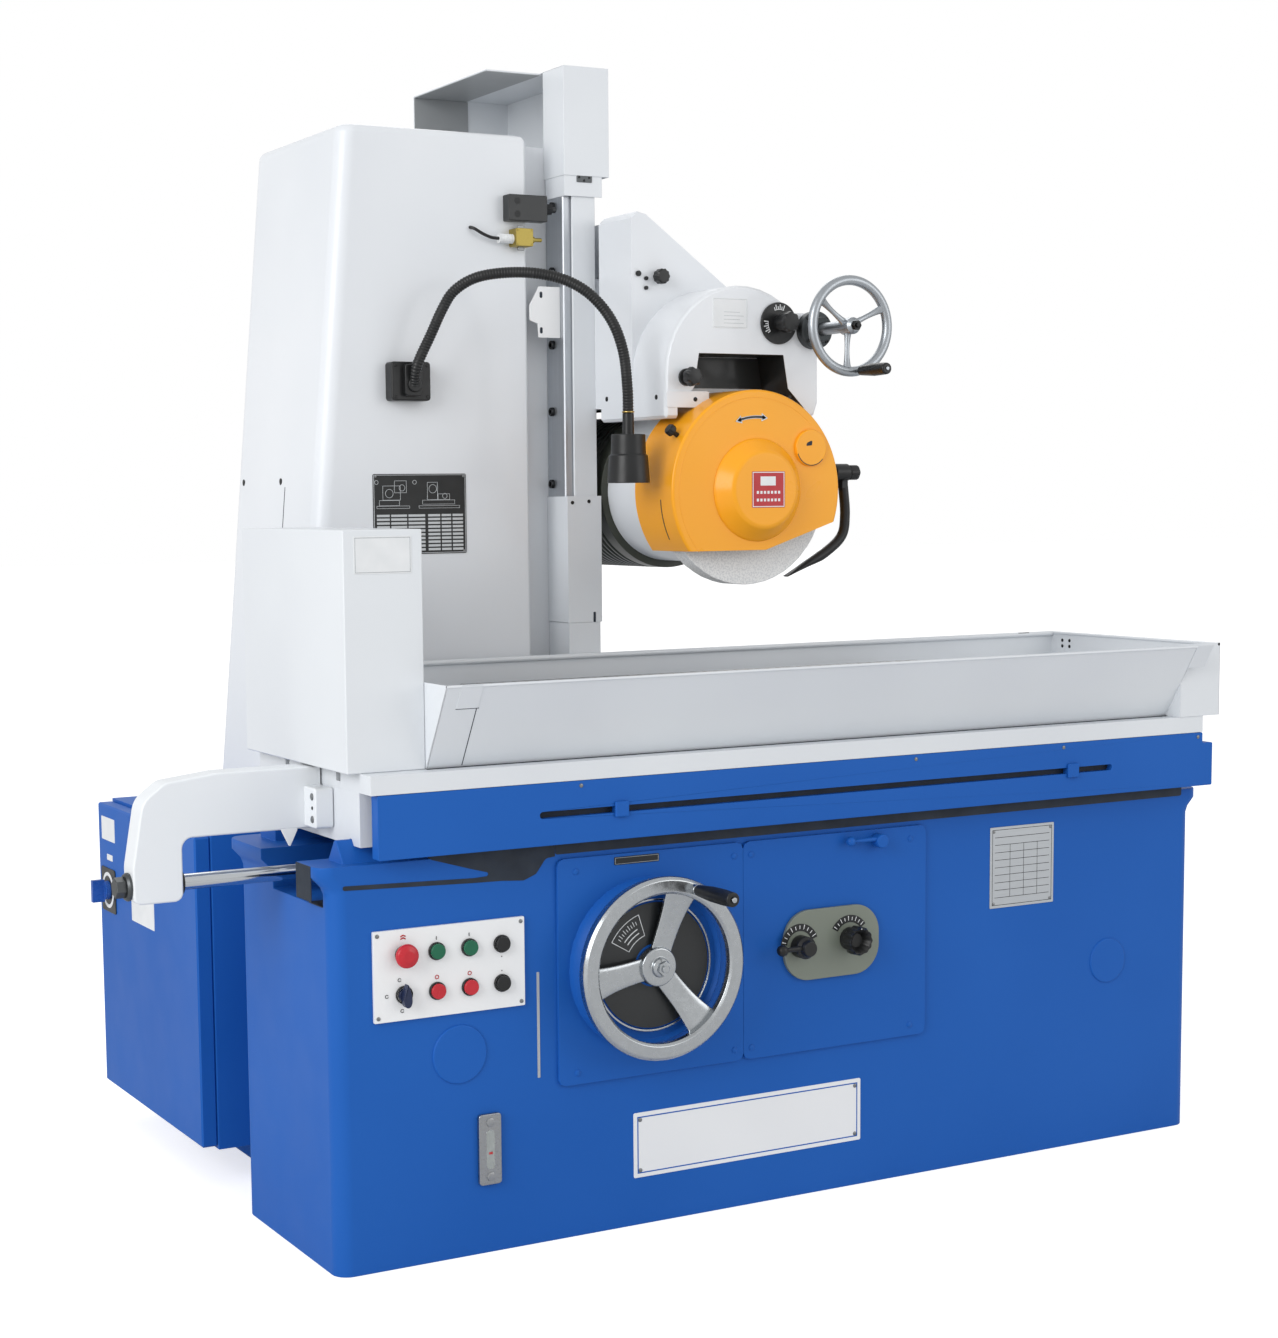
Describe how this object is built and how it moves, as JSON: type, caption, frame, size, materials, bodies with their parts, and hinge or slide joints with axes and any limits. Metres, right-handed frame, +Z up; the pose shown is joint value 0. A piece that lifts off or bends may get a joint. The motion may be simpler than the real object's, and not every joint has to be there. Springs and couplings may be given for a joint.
{
  "type": "surface grinder",
  "caption": "Horizontal-spindle surface grinder with sliding table and splash tray, column with lifting saddle, cross-fed wheelhead, guarded wheel, handwheels and cabinet.",
  "frame": {"origin": "middle of the bed's underside, on the floor", "axes": "+X along the table's travel to the operator's right, -Y towards the operator, +Z up"},
  "size_m": [2.126, 1.348, 2.02],
  "materials": {
    "blue_paint": "semi-gloss machine enamel",
    "pale_grey_paint": "satin machine enamel",
    "white_panel": "smooth painted panel",
    "yellow_paint": "semi-gloss enamel",
    "machined_steel": "ground or polished",
    "dark_cast_iron": "dark motor enamel over casting",
    "black_plastic": "moulded",
    "red_plastic": "moulded",
    "green_plastic": "moulded",
    "vitrified_abrasive": "open-grained vitrified aluminium oxide",
    "olive_panel": "satin plate",
    "yellow_chromate": "yellow passivated casing"
  },
  "bodies": {
    "base": {"bed_casting": "blue_paint", "column_casting": "pale_grey_paint", "front_guide_rail": "machined_steel", "rear_guide_rail": "machined_steel", "guide_hood": "pale_grey_paint", "lower_guide_cover": "pale_grey_paint", "left_apron_plate": "blue_paint", "right_apron_plate": "blue_paint", "button_panel": "white_panel", "hydraulic_plate": "olive_panel", "oil_gauge": "machined_steel", "cabinet_body": "blue_paint", "lamp_gooseneck": "black_plastic", "lamp_head": "black_plastic", "head_stop_block": "black_plastic", "limit_switch": "yellow_chromate", "limit_switch_cable": "black_plastic", "hydraulic_cylinder": "dark_cast_iron"},
    "feed_screw": {"lift_screw": "machined_steel"},
    "door": {"cabinet_door": "blue_paint"},
    "door_switch": {"main_switch": "blue_paint"},
    "e_stop": {"emergency_stop": "red_plastic"},
    "start_left": {"start_button_left": "green_plastic"},
    "start_right": {"start_button_right": "green_plastic"},
    "jog_top": {"jog_button_top": "black_plastic"},
    "selector": {"pump_selector": "black_plastic"},
    "stop_left": {"stop_button_left": "red_plastic"},
    "stop_right": {"stop_button_right": "red_plastic"},
    "jog_bottom": {"jog_button_bottom": "black_plastic"},
    "speed_lever": {"hydraulic_lever": "black_plastic"},
    "speed_knob": {"hydraulic_knob": "black_plastic"},
    "reverse_lever": {"reversing_lever": "blue_paint"},
    "lift_wheel": {"lift_handwheel": "machined_steel"},
    "lift_grip": {"lift_handle": "black_plastic"},
    "table": {"table_casting": "pale_grey_paint", "table_front_skirt": "blue_paint", "splash_tray": "pale_grey_paint", "splash_box": "pale_grey_paint", "magnetic_chuck": "machined_steel", "rod_arm": "white_panel", "piston_rod": "machined_steel"},
    "dog_left": {"left_trip_dog": "blue_paint"},
    "dog_right": {"right_trip_dog": "blue_paint"},
    "saddle": {"saddle_casting": "pale_grey_paint", "way_cover_strip": "pale_grey_paint", "cross_feed_flange": "black_plastic"},
    "feed_dial": {"feed_dial_knob": "black_plastic"},
    "way_lock": {"way_lock_knob": "black_plastic"},
    "gusset_clamp": {"gusset_clamp_knob": "black_plastic"},
    "cross_wheel": {"cross_handwheel": "machined_steel"},
    "cross_grip": {"cross_handle": "black_plastic"},
    "head": {"wheelhead_casting": "pale_grey_paint", "motor_housing": "dark_cast_iron", "wheel_guard": "yellow_paint", "guard_hub_cover": "yellow_paint", "coolant_valve": "black_plastic"},
    "rotor": {"spindle": "machined_steel", "grinding_wheel": "vitrified_abrasive"},
    "guard_knob": {"guard_lock_knob": "black_plastic"},
    "tap": {"coolant_tap": "black_plastic"}
  },
  "joints": [
    {"name": "table_slide", "type": "slide", "parent": "base", "child": "table", "axis": [1, 0, 0], "range_m": [-0.5, 0.5]},
    {"name": "left_dog_slide", "type": "slide", "parent": "table", "child": "dog_left", "axis": [1, 0, 0], "range_m": [-0.13, 0.4]},
    {"name": "right_dog_slide", "type": "slide", "parent": "table", "child": "dog_right", "axis": [1, 0, 0], "range_m": [-0.4, 0.08]},
    {"name": "lift_handwheel_turn", "type": "hinge", "parent": "base", "child": "lift_wheel", "pos_m": [-0.332, -0.25, 0.4555], "axis": [0, -1, 0], "range_deg": [-50400, 46800]},
    {"name": "lift_handle_spin", "type": "hinge", "parent": "lift_wheel", "child": "lift_grip", "pos_m": [-0.27918, -0.35, 0.58623], "axis": [0, -1, 0], "continuous": true},
    {"name": "lift_screw_turn", "type": "hinge", "parent": "base", "child": "feed_screw", "pos_m": [-0.19, 0.475, 1], "axis": [0, 0, 1], "range_deg": [-8400.5, 7800.5]},
    {"name": "carriage_lift", "type": "slide", "parent": "base", "child": "saddle", "axis": [0, 0, 1], "range_m": [-0.1401, 0.1301]},
    {"name": "cross_handwheel_turn", "type": "hinge", "parent": "saddle", "child": "cross_wheel", "pos_m": [0.151, -0.12, 1.535], "axis": [0, -1, 0], "range_deg": [-9301, 9001]},
    {"name": "cross_handle_spin", "type": "hinge", "parent": "cross_wheel", "child": "cross_grip", "pos_m": [0.1651, -0.17, 1.45503], "axis": [0, -1, 0], "continuous": true},
    {"name": "head_cross_feed", "type": "slide", "parent": "saddle", "child": "head", "axis": [0, 1, 0], "range_m": [-0.15, 0.155]},
    {"name": "spindle_spin", "type": "hinge", "parent": "head", "child": "rotor", "pos_m": [0, 0.1, 1.2475], "axis": [0, -1, 0], "continuous": true},
    {"name": "guard_knob_turn", "type": "hinge", "parent": "head", "child": "guard_knob", "pos_m": [-0.15935, -0.022, 1.35098], "axis": [-0.8387, 0, 0.5446], "continuous": true},
    {"name": "coolant_tap_turn", "type": "hinge", "parent": "head", "child": "tap", "pos_m": [0.25, 0.008, 1.278], "axis": [1, 0, 0], "range_deg": [0, 90]},
    {"name": "feed_dial_turn", "type": "hinge", "parent": "saddle", "child": "feed_dial", "pos_m": [0.077, -0.02, 1.546], "axis": [0, -1, 0], "range_deg": [-140, 140]},
    {"name": "way_lock_turn", "type": "hinge", "parent": "saddle", "child": "way_lock", "pos_m": [-0.118, -0.02, 1.447], "axis": [0, -1, 0], "range_deg": [-90, 90]},
    {"name": "gusset_clamp_turn", "type": "hinge", "parent": "saddle", "child": "gusset_clamp", "pos_m": [-0.107, 0.1, 1.632], "axis": [0, -1, 0], "continuous": true},
    {"name": "speed_lever_turn", "type": "hinge", "parent": "base", "child": "speed_lever", "pos_m": [-0.025, -0.23, 0.453], "axis": [0, -1, 0], "range_deg": [-45, 45]},
    {"name": "speed_knob_turn", "type": "hinge", "parent": "base", "child": "speed_knob", "pos_m": [0.081, -0.23, 0.456], "axis": [0, -1, 0], "range_deg": [-150, 150]},
    {"name": "reverse_lever_turn", "type": "hinge", "parent": "base", "child": "reverse_lever", "pos_m": [0.145, -0.22, 0.626], "axis": [0, -1, 0], "range_deg": [-25, 25]},
    {"name": "cabinet_door_hinge", "type": "hinge", "parent": "base", "child": "door", "pos_m": [-0.8943, 0.362, 0.359], "axis": [0, 0, 1], "range_deg": [0, 100]},
    {"name": "main_switch_turn", "type": "hinge", "parent": "door", "child": "door_switch", "pos_m": [-0.93, 0.878, 0.473], "axis": [-1, 0, 0], "range_deg": [0, 90]},
    {"name": "selector_turn", "type": "hinge", "parent": "base", "child": "selector", "pos_m": [-0.78, -0.2163, 0.451], "axis": [0, -1, 0], "range_deg": [-45, 45]},
    {"name": "emergency_stop_press", "type": "slide", "parent": "base", "child": "e_stop", "axis": [0, 1, 0], "range_m": [0, 0.004], "stiffness_N_per_m": 400},
    {"name": "start_left_press", "type": "slide", "parent": "base", "child": "start_left", "axis": [0, 1, 0], "range_m": [0, 0.004], "stiffness_N_per_m": 400},
    {"name": "start_right_press", "type": "slide", "parent": "base", "child": "start_right", "axis": [0, 1, 0], "range_m": [0, 0.004], "stiffness_N_per_m": 400},
    {"name": "jog_top_press", "type": "slide", "parent": "base", "child": "jog_top", "axis": [0, 1, 0], "range_m": [0, 0.004], "stiffness_N_per_m": 400},
    {"name": "stop_left_press", "type": "slide", "parent": "base", "child": "stop_left", "axis": [0, 1, 0], "range_m": [0, 0.004], "stiffness_N_per_m": 400},
    {"name": "stop_right_press", "type": "slide", "parent": "base", "child": "stop_right", "axis": [0, 1, 0], "range_m": [0, 0.004], "stiffness_N_per_m": 400},
    {"name": "jog_bottom_press", "type": "slide", "parent": "base", "child": "jog_bottom", "axis": [0, 1, 0], "range_m": [0, 0.004], "stiffness_N_per_m": 400}
  ],
  "couplings": [
    {"joint": "carriage_lift", "follows": "lift_handwheel_turn", "m_per_rad": 0.00015915},
    {"joint": "lift_screw_turn", "follows": "lift_handwheel_turn", "ratio": 0.16667},
    {"joint": "cross_handwheel_turn", "follows": "head_cross_feed", "rad_per_m": -1047.2}
  ]
}
